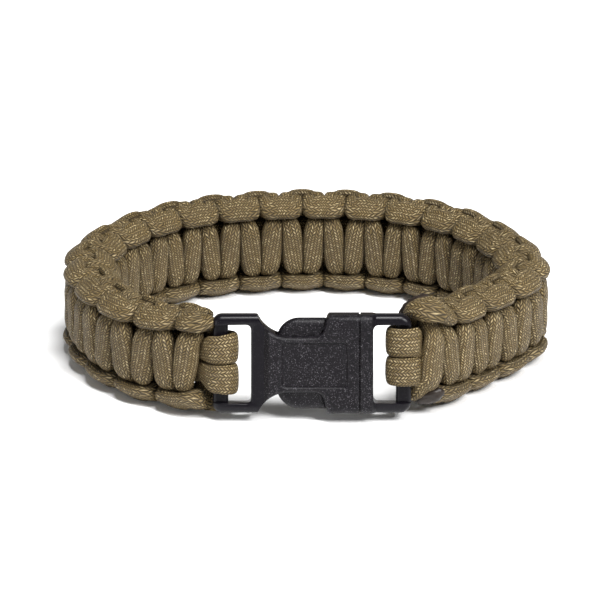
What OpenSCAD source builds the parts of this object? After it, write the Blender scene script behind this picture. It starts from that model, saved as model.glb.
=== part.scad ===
// Woven cord bracelet with a side-release buckle, in millimetres.
// The band stands on its lower edge, with +Z up and the buckle in front, towards -Y.
// The origin is on the floor, at the middle of the bounding box.
// A place on the band is [along, up, out]: along the band from the socket's bar,
// up from its middle line, and out from the middle of its thickness.

/* [Band] */
// Height of the woven band
band_w = 21.4; // [20:0.2:26]
// Half of the loop's width, to the middle of the band
loop_half_w = 45.7; // [42:0.5:52]
// Depth of the loop, from the buckle's bars to the middle of the band at the back
loop_depth = 72; // [66:0.5:78]
// Number of half knots, an odd number
knots = 45; // [41:2:49]
// Distance from the socket's bar to the first half knot
start_gap = 6.4; // [6:0.1:8]
// Distance from the last half knot to the plug's bar
end_gap = 5; // [4.8:0.1:6.5]

/* [Cord] */
// Width of a strand where it crosses the band
cord_w = 4.7; // [4:0.1:5]
// Thickness of a strand where it crosses the band
cord_t = 3.5; // [3:0.1:3.8]
// Height of the crossing strands' middle over the middle of the band
face_rise = 3.5; // [3.2:0.1:4]
// Width of each of the two core cords in the band
core_w = 5; // [4.4:0.1:5.2]
// Thickness of the core cords in the band
core_t = 3; // [2.6:0.1:3.2]
// Clearance between cords
cord_gap = 0.2; // [0.16:0.02:0.3]

/* [Cords at the bars] */
// Width of a core cord where it lies flat on a bar
flat_w = 6.3; // [5.5:0.1:6.6]
// Width of a core cord on the plug's bar
plug_flat_w = 5.9; // [5.5:0.1:6.2]
// How far the cords on the plug's bar are pushed up
plug_shift = 1.5; // [0:0.1:1.8]
// Thickness of a core cord where it lies flat on a bar
flat_t = 1.9; // [1.6:0.1:2.1]
// Clearance between a cord and the bar in it
bar_gap = 0.25; // [0.2:0.05:0.4]
// Length of the core cords' ends that turn back into the band
tuck_len = 9; // [7:0.5:12]

/* [Buckle] */
// Length of the fastened buckle
buckle_len = 41; // [39:0.5:44]
// Height of the buckle
buckle_h = 20.6; // [19:0.2:22]
// Thickness of the socket's body and of the plug's flange
body_t = 6; // [5.6:0.2:7]
// Thickness of the frames round the cord slots
frame_t = 4; // [3.4:0.2:4.4]
// Height of the cord slots
slot_h = 16.4; // [15.6:0.2:17]
// Length of the cord slots
slot_len = 4.7; // [4.4:0.1:6]
// Size of the end bars along the buckle
bar_w = 3.2; // [2.6:0.1:3.6]
// Thickness of the end bars
bar_t = 2.4; // [2:0.1:2.8]
// How far the end bars are set back behind the middle of the buckle
bar_back = 0.4; // [0:0.1:0.8]
// Length of the plug's flange
flange_len = 2.6; // [2.2:0.1:3.4]
// Length of the socket's collar
collar_len = 6.6; // [6:0.2:7.4]
// Length of the waist from the collar to the start of its curve
waist_len = 6.8; // [6:0.2:7.4]
// Height of the socket's waist
waist_h = 11.6; // [10.4:0.2:12.4]
// Length of the socket's solid cross bar behind its slot
cross_len = 5; // [4:0.2:6]
// Length of the recessed panel
panel_len = 13.3; // [11:0.1:14]
// Height of the recessed panel
panel_h = 9.2; // [8:0.1:9.4]
// Depth of the recessed panel
panel_deep = 0.45; // [0.2:0.05:0.6]
// Wall of the socket's front and back plates
plate_t = 1.3; // [1.1:0.1:1.5]
// Clearance between the plug's parts and the socket
fit_gap = 0.25; // [0.15:0.05:0.3]
// Width of the seam between the socket and the flange
seam = 0.3; // [0.2:0.05:0.4]
// Height of the prong wings, outside to outside
wing_h = 19; // [17.6:0.2:19.4]
// Depth of a wing from its outer side
wing_deep = 4.8; // [4:0.2:5.2]
// Thickness of the prong arms
arm_t = 1.7; // [1.4:0.1:2]
// Height of the plug's middle tongue
tongue_h = 4.6; // [3.6:0.2:5.4]
// Angle by which the buckle's face leans back
buckle_lean = 12; // [0:1:14]
// Distance from the bars over which the band stands up straight again
lean_reach = 16; // [12:1:24]

/* [Hidden] */
cord_colour = "#7d6f52";
tip_colour = "#3a2a1c";
buckle_colour = "#2b2a2d";
sides = 7;
core_sides = 8;
// How full a strand's section is: 2 is an ellipse, and more is squarer
fullness = 2.6;
// Where the working strands leave the core cords, from the socket's bar
start_along = 2.7;
// How far the half knots at the back are slid towards the plug
slide = 2.4;
// Gap between a cut strand and its melted tip
tip_gap = 0.2;
// Distance from the collar's edge to the recessed panel
panel_margin = 2.5;

// The loop's middle line as seen from above, from bar to bar.
// Columns: across as a share of the half width, back as a share of the depth.
LOOP = [
    [-0.80, 0.185],
    [-0.985, 0.43],
    [-0.955, 0.65],
    [-0.73, 0.845],
    [-0.42, 0.955],
    [0.03, 1.0],
    [0.44, 0.96],
    [0.76, 0.83],
    [0.965, 0.62],
    [0.985, 0.41],
    [0.71, 0.185],
];
// Where the middle of the buckle is, across from the middle of the loop
buckle_x = 1.4;
bar_x = buckle_len / 2 - bar_w / 2;
loop_points = concat(
    [[buckle_x - bar_x, bar_back]],
    [for (row = LOOP) [row[0] * loop_half_w, row[1] * loop_depth]],
    [[buckle_x + bar_x, bar_back]]
);
spans = len(loop_points) - 1;
loop_steps = 16;

// A Catmull-Rom curve through the loop's points, straight at both bars
function loop_point(i) =
    i < 0 ? 2 * loop_points[0] - loop_points[1]
    : i > spans ? 2 * loop_points[spans] - loop_points[spans - 1]
    : loop_points[i];
function loop_at(u) =
    let (
        i = min(max(floor(u), 0), spans - 1),
        f = u - i,
        a = loop_point(i - 1),
        b = loop_point(i),
        c = loop_point(i + 1),
        d = loop_point(i + 2)
    )
    b + f * ((c - a) / 2 + f * ((a - 2.5 * b + 2 * c - d / 2) + f * (b - c + (b - c) / 2 + (d - a) / 2)));
loop_samples = [for (i = [0:spans * loop_steps]) loop_at(i / loop_steps)];
loop_lengths = [
    for (i = 0, run = 0;
        i < len(loop_samples);
        i = i + 1, run = run + (i < len(loop_samples) ? norm(loop_samples[i] - loop_samples[i - 1]) : 0))
    run
];
band_len = loop_lengths[len(loop_lengths) - 1];
length_table = [for (i = [0:len(loop_lengths) - 1]) [loop_lengths[i], i / loop_steps]];
function unit(v) = v / norm(v);
function heading(along) =
    let (u = lookup(min(max(along, 0), band_len), length_table), e = 0.02)
    unit(loop_at(min(u + e, spans)) - loop_at(max(u - e, 0)));

// The band leans with the buckle at both ends, and is lifted so that it stays on the floor
band_half_t = face_rise + cord_t / 2;
function ease(x) = let (c = min(max(x, 0), 1)) c * c * (3 - 2 * c);
function lean_at(along) = buckle_lean * (1 - ease(min(along, band_len - along) / lean_reach));
function lift_at(lean) = max(0, band_half_t * sin(lean) - band_w / 2 * (1 - cos(lean)));
function slid(along) =
    let (share = (along - start_gap) / (band_len - start_gap - end_gap))
    along + slide * sin(180 * min(max(share, 0), 1));
function place(p) =
    let (
        inside = slid(min(max(p[0], 0), band_len)),
        m = loop_at(lookup(inside, length_table)),
        t = heading(inside),
        beyond = p[0] - min(max(p[0], 0), band_len),
        across = t[0] * beyond - t[1] * p[2],
        back = t[1] * beyond + t[0] * p[2],
        lean = lean_at(inside)
    )
    [
        m[0] + across - middle_x,
        m[1] + back * cos(lean) + p[1] * sin(lean) - middle_y,
        middle_z + p[1] * cos(lean) - back * sin(lean) + lift_at(lean)
    ];

// One half knot of a strand: it crosses the outer face upwards, dives under the other strand's cap,
// turns over the edge, makes a cap on the inner face and comes back the same way.
// Columns: along as a share of the pitch, up as a share of the half height,
// out as a share of the face's rise, width and thickness as shares of the strand's, and clearance
// as a share of the cords'.
KNOT = [
    [0.00, 0.00, 1.00, 1.25, 1.00, 1.0],
    [-0.13, 0.38, 1.02, 1.15, 0.95, 2.0],
    [-0.24, 0.58, 0.62, 0.85, 0.90, 3.0],
    [-0.27, 0.65, 0.02, 0.65, 1.10, 3.0],
    [-0.02, 0.77, -0.60, 1.55, 0.95, 3.0],
    [0.50, 0.79, -0.70, 1.70, 0.95, 2.0],
];
half_rows = len(KNOT) - 1;
rows = 2 * half_rows;
pitch = (band_len - start_gap - end_gap) / (knots - 1);
half_h = band_w / 2;
core_edge = core_w;

function knot_row(i) =
    i <= half_rows ? KNOT[i] : let (m = KNOT[rows - i]) [1 - m[0], m[1], m[2], m[3], m[4], m[5]];
// Even half knots cross downwards, and the inner strand is the outer one turned about the band
function flip(k) = k % 2 == 0 ? -1 : 1;
function turned(v, side, k) = [v[0], side * flip(k) * v[1], side * v[2]];
function knot_point(side, k, i) =
    let (kk = k + floor(i / rows), ii = i - rows * floor(i / rows), row = knot_row(ii))
    turned([start_gap + (kk - 1 + row[0]) * pitch, row[1] * half_h, row[2] * face_rise], side, kk);

// Directions of a section's corners, the first one straight away from the core
function away(c, t) =
    let (edge = min(max(c[1], -core_edge), core_edge), o = [0, c[1] - edge, c[2]])
    unit(o - (o * t) * t);
// A soft section: an ellipse that is pressed flat halfway to each neighbour
function reach(c, d, limit, gap, others) =
    min([limit, for (q = others) let (g = d * (q - c)) if (g > 0.02) (q - c) * (q - c) / (2 * g) - gap / 2]);
function section(c, t, w, th, gap, others, count) =
    let (o = away(c, t), a = cross(t, o))
    [for (j = [0:count - 1])
        let (
            angle = 360 * j / count,
            d = cos(angle) * o + sin(angle) * a,
            flatness = pow(abs(cos(angle)) * 2 / th, fullness) + pow(abs(sin(angle)) * 2 / w, fullness),
            limit = pow(flatness, -1 / fullness)
        )
        d * reach(c, d, limit, gap, others)
    ];
function neighbours(first, last) =
    [for (side = [-1, 1], k = [first:last], i = [0:rows - 1], f = [0, 0.5])
        (1 - f) * knot_point(side, k, i) + f * knot_point(side, k, i + 1)];

// The sections of one odd half knot, as offsets from its middle line, used for all of them
cell_k = 3;
cell_others = neighbours(cell_k - 3, cell_k + 3);
cell = [for (i = [0:rows - 1])
    let (
        c = knot_point(1, cell_k, i),
        t = unit(knot_point(1, cell_k, i + 1) - knot_point(1, cell_k, i - 1)),
        row = knot_row(i)
    )
    section(c, t, row[3] * cord_w, row[4] * cord_t, row[5] * cord_gap, cell_others, sides)
];

// The band's real extent up and out, and the middle of the whole bracelet's bounding box
cell_corners = [for (i = [0:rows - 1], v = cell[i]) knot_point(1, cell_k, i) + v];
middle_z = max([for (c = cell_corners) abs(c[1])]);
band_reach = max([for (c = cell_corners) abs(c[2])]);
edge_r = 1.3;
front_reach = (body_t / 2 - edge_r) * cos(buckle_lean) + (buckle_h / 2 - edge_r) * sin(buckle_lean) + edge_r;
loop_x = [for (p = loop_samples) p[0]];
middle_x = (min(loop_x) + max(loop_x)) / 2;
middle_y = (max([for (p = loop_samples) p[1]]) + band_reach - front_reach) / 2;

function knot_ring(side, k, i) =
    [for (j = [0:sides - 1])
        let (jj = flip(k) > 0 ? j : (sides - j) % sides)
        place(knot_point(side, k, i) + turned(cell[i][jj], side, k))];

// Rings through freely placed rows of [along, up, out, width, thickness]
function row_place(row) = [row[0], row[1], row[2]];
function free_rings(table, others, count) =
    let (last = len(table) - 1)
    [for (i = [0:last])
        let (
            c = row_place(table[i]),
            t = unit(row_place(table[min(i + 1, last)]) - row_place(table[max(i - 1, 0)]))
        )
        [for (v = section(c, t, table[i][3], table[i][4], 2 * cord_gap, others, count)) place(c + v)]
    ];

// A closed skin over a list of rings
module skin(rings) {
    count = len(rings[0]);
    last = len(rings) - 1;
    points = [for (ring = rings, p = ring) p];
    walls = [for (i = [0:last - 1], j = [0:count - 1])
        let (a = i * count + j, b = i * count + (j + 1) % count)
        each [[a, b, a + count], [b, b + count, a + count]]];
    start = [for (j = [1:count - 2]) [0, j + 1, j]];
    end = [for (j = [1:count - 2]) [last * count, last * count + j, last * count + j + 1]];
    polyhedron(points, concat(walls, start, end));
}

// Where a strand is between two rows of a half knot
function knot_between(side, k, x) =
    let (i = floor(x), f = x - i) (1 - f) * knot_point(side, k, i) + f * knot_point(side, k, i + 1);
function sized(c, w, th) = [c[0], c[1], c[2], w, th];

// Core cords: flat on the bar, round it through the slot, and back on the inner side
bar_round = 0.9;
bar_reach = norm([bar_w / 2 - bar_round, bar_t / 2 - bar_round]) + bar_round;
wrap_r = bar_reach + bar_gap + flat_t / 2;
flat_up = (flat_w + cord_gap) / 2;
plug_up = (plug_flat_w + cord_gap) / 2;
core_up = (core_w + cord_gap) / 2;
wrap_step = 30;
// From the inner side (-90) through the slot (0) to the outer side (90) of a bar
function wrap(bar, inward, from, to, w) =
    [for (a = [from : (to > from ? wrap_step : -wrap_step) : to])
        [bar + inward * wrap_r * -cos(a), (w + cord_gap) / 2, wrap_r * sin(a), w, flat_t]];
layer_t = core_t / 2 - cord_gap / 2;
layer_out = (layer_t + cord_gap) / 2;
tuck_start = band_len - tuck_len;
core_rows = concat(
    wrap(0, 1, -90, 90, flat_w),
    [
        [2.0, flat_up * 0.96, wrap_r * 0.72, flat_w * 0.96, flat_t],
        [3.8, flat_up * 0.86, wrap_r * 0.24, flat_w * 0.84, flat_t * 1.15],
        [start_gap, core_up, 0, core_w, core_t * 0.9],
    ],
    [for (k = [2:knots - 4]) [start_gap + (k - 1) * pitch, core_up, 0, core_w, core_t]],
    [
        [tuck_start, core_up, layer_out, core_w, layer_t],
        [band_len - end_gap + 1.2, core_up * 1.05, layer_out, core_w * 1.05, layer_t],
        [band_len - 2.1, plug_up * 0.95, wrap_r * 0.7, plug_flat_w * 0.95, flat_t * 0.9],
    ],
    wrap(band_len, -1, 90, -90, plug_flat_w),
    [
        [band_len - 2.1, plug_up * 0.95, -wrap_r * 0.7, plug_flat_w * 0.95, flat_t * 0.9],
        [band_len - end_gap + 1.2, core_up * 1.05, -layer_out, core_w * 1.05, layer_t],
        [tuck_start + 1, core_up, -layer_out, core_w, layer_t],
    ]
);
// The cords are pushed up on the plug's bar
function pushed(along) = plug_shift * ease((along - band_len + 3) / 2.6);
module core_cord(side) {
    last = len(core_rows) - 1;
    color(cord_colour)
    skin([for (i = [0:last])
        let (
            row = core_rows[i],
            c = core_place(row, side),
            t = unit(core_place(core_rows[min(i + 1, last)], side) - core_place(core_rows[max(i - 1, 0)], side)),
            up = unit([0, 1, 0] - t[1] * t),
            thick = cross(t, up)
        )
        [for (j = [0:core_sides - 1])
            let (angle = 360 * (j + 0.5) / core_sides)
            place(c + round_share(cos(angle)) * row[3] / 2 * up + round_share(sin(angle)) * row[4] / 2 * thick)]
    ]);
}
function core_place(row, side) = [row[0], side * row[1] + pushed(row[0]), row[2]];
function round_share(x) = sign(x) * pow(abs(x), 0.6);

// The working strands come off the inner side of the socket's bar and end in melted tips by the plug
outer_start = [
    [start_along, -flat_up, -wrap_r, flat_w * 0.8, flat_t],
    [3.0, -6.0, -3.5, cord_w, cord_t * 0.8],
];
inner_start = [
    [start_along, flat_up, -wrap_r, flat_w * 0.8, flat_t],
    [3.9, 5.5, -2.6, cord_w, cord_t * 0.9],
    [4.0, 7.3, -0.5, cord_w, cord_t],
];
first_others = neighbours(0, 3);
last_others = neighbours(knots - 3, knots);

module outer_cord() {
    color(cord_colour)
    skin(concat(
        free_rings(outer_start, first_others, sides),
        [for (i = [half_rows:rows - 1]) knot_ring(1, 0, i)],
        [for (k = [1:knots - 1], i = [0:rows - 1]) knot_ring(1, k, i)],
        [for (i = [0:4]) knot_ring(1, knots, i)]
    ));
}

module inner_cord() {
    color(cord_colour)
    skin(concat(
        free_rings(inner_start, first_others, sides),
        [for (i = [half_rows:rows - 1]) knot_ring(-1, 0, i)],
        [for (k = [1:knots - 1], i = [0:rows - 1]) knot_ring(-1, k, i)],
        [for (i = [0:3]) knot_ring(-1, knots, i)]
    ));
}

// Rows from one place on a strand's middle line to another, in half-knot rows, for a melted end
module melted_tip(side, first, last) {
    steps = 3;
    color(tip_colour)
    skin(free_rings(
        [for (i = [0:steps])
            let (
                f = i / steps,
                c = knot_between(side, knots, first + f * (last - first)),
                share = sqrt(1 - 0.75 * f * f)
            )
            sized(c, cord_w * 0.95 * share, cord_t * 0.75 * share)],
        last_others,
        sides
    ));
}

// Outlines and slabs of the buckle, in its own frame: x along it, y through it, z up
module rounded(w, h, r) {
    square([w - 2 * r, h], center = true);
    square([w, h - 2 * r], center = true);
    for (x = [-1, 1], y = [-1, 1])
        translate([x * (w / 2 - r), y * (h / 2 - r)])
        circle(r, $fn = 40);
}
module along_x(from, to) {
    translate([from, 0, 0])
    rotate([90, 0, 90])
    linear_extrude(to - from)
    children();
}
module across_y(thick) {
    rotate([90, 0, 0])
    translate([0, 0, -thick / 2])
    linear_extrude(thick)
    children();
}
module seat_buckle() {
    translate([buckle_x - middle_x, bar_back - middle_y, middle_z + lift_at(buckle_lean)])
    rotate([-buckle_lean, 0, 0])
    translate([0, -bar_back, 0])
    children();
}

frame_r = 1;
corner_r = 1.6;
end_x = buckle_len / 2;
slot_x = end_x - bar_w - slot_len;
flange_x = slot_x - flange_len;
collar_x = flange_x - seam;
collar_left = collar_x - collar_len;
slant = 1.1;
waist_left = collar_left - slant - waist_len;
frame_x = -slot_x + cross_len * 0.54;
ramp = 1;
cavity_t = body_t - 2 * plate_t;
cavity_h = buckle_h - 2 * edge_r;
cavity_left = -slot_x + cross_len;
shoulder_x = -slot_x + edge_r;
prong_t = cavity_t - 2 * fit_gap;
neck_len = 2;

// A frame round a cord slot, at the socket's end (-1) or the plug's (1)
module slot_frame(end, inner_x) {
    length = end_x - inner_x;
    centre_x = (end_x + inner_x) / 2;
    difference() {
        intersection() {
            along_x(end > 0 ? inner_x : -end_x, end > 0 ? end_x : -inner_x)
            rounded(frame_t, buckle_h, frame_r);
            translate([end * (centre_x - corner_r), 0, 0])
            across_y(frame_t)
            rounded(length + 2 * corner_r, buckle_h, corner_r);
        }
        translate([end * (slot_x + (bar_w + slot_len) / 2 + 1), 0, 0])
        cube([bar_w + slot_len + 2, frame_t + 1, slot_h], center = true);
    }
    translate([end * bar_x, bar_back, 0])
    linear_extrude(slot_h + 1, center = true)
    rounded(bar_w, bar_t, bar_round);
}

// The socket's outline from the front: collar, waist and shoulders
module socket_outline() {
    translate([frame_x, -buckle_h / 2])
    square([waist_left - frame_x, buckle_h]);
    translate([waist_left - 1, -waist_h / 2])
    square([collar_x - waist_left + 1, waist_h]);
    for (m = [0, 1])
        mirror([0, m])
        polygon([
            [collar_x, 0],
            [collar_x, buckle_h / 2],
            [collar_left + 0.5, buckle_h / 2],
            [collar_left, buckle_h / 2 - 0.6],
            [collar_left - slant, waist_h / 2],
            [collar_left - slant, 0]
        ]);
}
// The two round cuts that make the shoulders
module shoulder_cuts() {
    rise = (buckle_h - waist_h) / 2;
    run = waist_left - shoulder_x;
    curve_r = (run * run + rise * rise) / (2 * rise);
    for (m = [-1, 1])
        translate([waist_left, 0, m * (waist_h / 2 + curve_r)])
        across_y(body_t + 2)
        circle(curve_r, $fn = 120);
}

module buckle_socket() {
    color(buckle_colour)
    seat_buckle()
    difference() {
        union() {
            slot_frame(-1, -frame_x);
            intersection() {
                across_y(body_t)
                socket_outline();
                along_x(frame_x - 1, collar_x)
                rounded(body_t, buckle_h, edge_r);
            }
        }
        shoulder_cuts();
        // The ramps up to the body, front and back
        for (m = [0, 1])
            mirror([0, m, 0])
            translate([0, 0, -buckle_h / 2 - 1])
            linear_extrude(buckle_h + 2)
            polygon([
                [frame_x - 1, -body_t / 2 - 1],
                [frame_x - 1, -frame_t / 2],
                [frame_x, -frame_t / 2],
                [frame_x + ramp, -body_t / 2],
                [frame_x + ramp, -body_t / 2 - 1]
            ]);
        // The cavity for the plug
        translate([(cavity_left + collar_x + 1) / 2, 0, 0])
        cube([collar_x + 1 - cavity_left, cavity_t, cavity_h], center = true);
        // The recessed panel on the front
        translate([collar_x - panel_margin - panel_len / 2, -body_t / 2, 0])
        across_y(2 * panel_deep)
        rounded(panel_len, panel_h, 0.7);
    }
}

module prong() {
    arm_top = cavity_h / 2 - fit_gap;
    wing_right = collar_left - 2 * fit_gap;
    tip_r = wing_deep;
    wing_left = cavity_left + fit_gap + tip_r;
    across_y(prong_t) {
        translate([wing_right - 3, arm_top - arm_t])
        square([flange_x + 1 - wing_right + 3, arm_t]);
        polygon([
            [wing_right, wing_h / 2],
            [wing_right - slant * 0.7, wing_h / 2 - 3],
            [wing_right - slant, wing_h / 2 - wing_deep],
            [wing_left, wing_h / 2 - wing_deep],
            [wing_left, wing_h / 2]
        ]);
        intersection() {
            translate([wing_left, wing_h / 2 - tip_r])
            circle(tip_r, $fn = 80);
            translate([wing_left - tip_r, wing_h / 2 - wing_deep])
            square([tip_r + 0.5, wing_deep]);
        }
    }
}

module buckle_plug() {
    color(buckle_colour)
    seat_buckle() {
        slot_frame(1, slot_x - 1);
        along_x(flange_x, slot_x)
        rounded(body_t, buckle_h, edge_r);
        for (m = [0, 1])
            mirror([0, 0, m])
            prong();
        translate([waist_left + 2, -prong_t / 2, -tongue_h / 2])
        cube([flange_x - waist_left - 1, prong_t, tongue_h]);
        // The step and the neck that close the seam behind the collar's edge
        along_x(flange_x - seam / 2, flange_x + 1)
        rounded(body_t - 1, buckle_h - 1, edge_r - 0.5);
        translate([flange_x - neck_len, -prong_t / 2, fit_gap - cavity_h / 2])
        cube([neck_len + 1, prong_t, cavity_h - 2 * fit_gap]);
    }
}

buckle_socket();
buckle_plug();
outer_cord();
inner_cord();
core_cord(1);  // core_cord_upper
core_cord(-1);  // core_cord_lower
melted_tip(1, 4 + tip_gap, 4.9);  // melted_tip_upper
melted_tip(-1, 3 + tip_gap, 3.7);  // melted_tip_lower
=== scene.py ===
"""A woven cord bracelet with a side-release buckle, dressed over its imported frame."""

import logging
import math
from dataclasses import dataclass, field
from enum import Enum
from typing import Any, Callable, Iterable

import bmesh
import bpy
import numpy as np
from mathutils import Matrix, Vector

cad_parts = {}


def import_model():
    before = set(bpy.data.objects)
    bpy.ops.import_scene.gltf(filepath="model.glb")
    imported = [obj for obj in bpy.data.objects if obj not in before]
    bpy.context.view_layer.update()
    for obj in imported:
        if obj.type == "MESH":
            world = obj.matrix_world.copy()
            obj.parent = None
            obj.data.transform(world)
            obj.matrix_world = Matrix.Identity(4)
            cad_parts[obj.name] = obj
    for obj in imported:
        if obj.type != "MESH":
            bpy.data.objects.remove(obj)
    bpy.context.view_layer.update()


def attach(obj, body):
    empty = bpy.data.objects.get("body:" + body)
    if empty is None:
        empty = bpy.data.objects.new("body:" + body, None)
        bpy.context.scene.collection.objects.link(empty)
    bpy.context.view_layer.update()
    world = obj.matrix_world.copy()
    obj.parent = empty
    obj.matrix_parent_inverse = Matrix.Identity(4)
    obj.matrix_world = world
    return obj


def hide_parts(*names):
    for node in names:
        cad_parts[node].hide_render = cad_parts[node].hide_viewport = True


LOG = logging.getLogger("bracelet")
MM = 0.001
# Middle of the bracelet's box in the loop's own coordinates, in millimetres, as in the part's source
MIDDLE = (0.2095, 36.208, 10.8538)
# How near a line an edge or corner of the buckle still counts as on it, from rough to fine
NEAR, TIGHT, HAIR = 0.1, 0.05, 0.02
# A node's inputs, by name or number or else in order
Inputs = dict[Any, Any] | tuple[Any, ...]


class Side(Enum):
    """The face of the band that a working strand crosses."""

    OUTER = 1
    INNER = -1


class Core(Enum):
    """One of the two cords that the band is woven round."""

    UPPER = 1
    LOWER = -1


class Half(Enum):
    """The upper or the lower half of the buckle."""

    UPPER = 1
    LOWER = -1


class End(Enum):
    """The end of the buckle that a cord slot and its bar are at."""

    SOCKET = -1
    PLUG = 1


class Joining(Enum):
    """What a second solid does to the first."""

    ADD = "UNION"
    CUT = "DIFFERENCE"
    TRIM = "INTERSECT"


def linear(hex_colour: str) -> tuple[float, float, float, float]:
    """Turns an sRGB hex colour into the linear colour that shaders take.

    Args:
        hex_colour: six hex digits after a hash sign.

    Returns:
        Red, green, blue and alpha.
    """
    parts = [int(hex_colour[i : i + 2], 16) / 255 for i in (1, 3, 5)]
    red, green, blue = [c / 12.92 if c <= 0.04045 else ((c + 0.055) / 1.055) ** 2.4 for c in parts]
    return (red, green, blue, 1.0)


def feed(tree: bpy.types.NodeTree, node: bpy.types.Node, inputs: Inputs) -> None:
    """Sets or links a node's input sockets.

    Args:
        tree: the material's node tree.
        node: the node.
        inputs: a value or a feeding output socket for each input, in order or by name or number.
    """
    for socket, given in inputs.items() if isinstance(inputs, dict) else enumerate(inputs):
        if isinstance(given, bpy.types.NodeSocket):
            tree.links.new(given, node.inputs[socket])
        else:
            node.inputs[socket].default_value = given


def add_node(tree: bpy.types.NodeTree, kind: str, inputs: Inputs = (), **settings: Any) -> bpy.types.Node:
    """Adds a shader node with its settings and links.

    Args:
        tree: the material's node tree.
        kind: the node's type name without its prefix.
        inputs: a value or a feeding output socket for each input, in order or by name or number.
        settings: the node's own properties.

    Returns:
        The new node.
    """
    node = tree.nodes.new("ShaderNode" + kind)
    for name, value in settings.items():
        setattr(node, name, value)
    feed(tree, node, inputs)
    return node


def new_material(name: str) -> tuple[bpy.types.Material, bpy.types.NodeTree, bpy.types.Node]:
    """Makes an empty node material.

    Args:
        name: the material's name.

    Returns:
        The material, its tree and its Principled shader.
    """
    material = bpy.data.materials.new(name)
    material.use_nodes = True
    tree = material.node_tree
    return material, tree, tree.nodes["Principled BSDF"]


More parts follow.
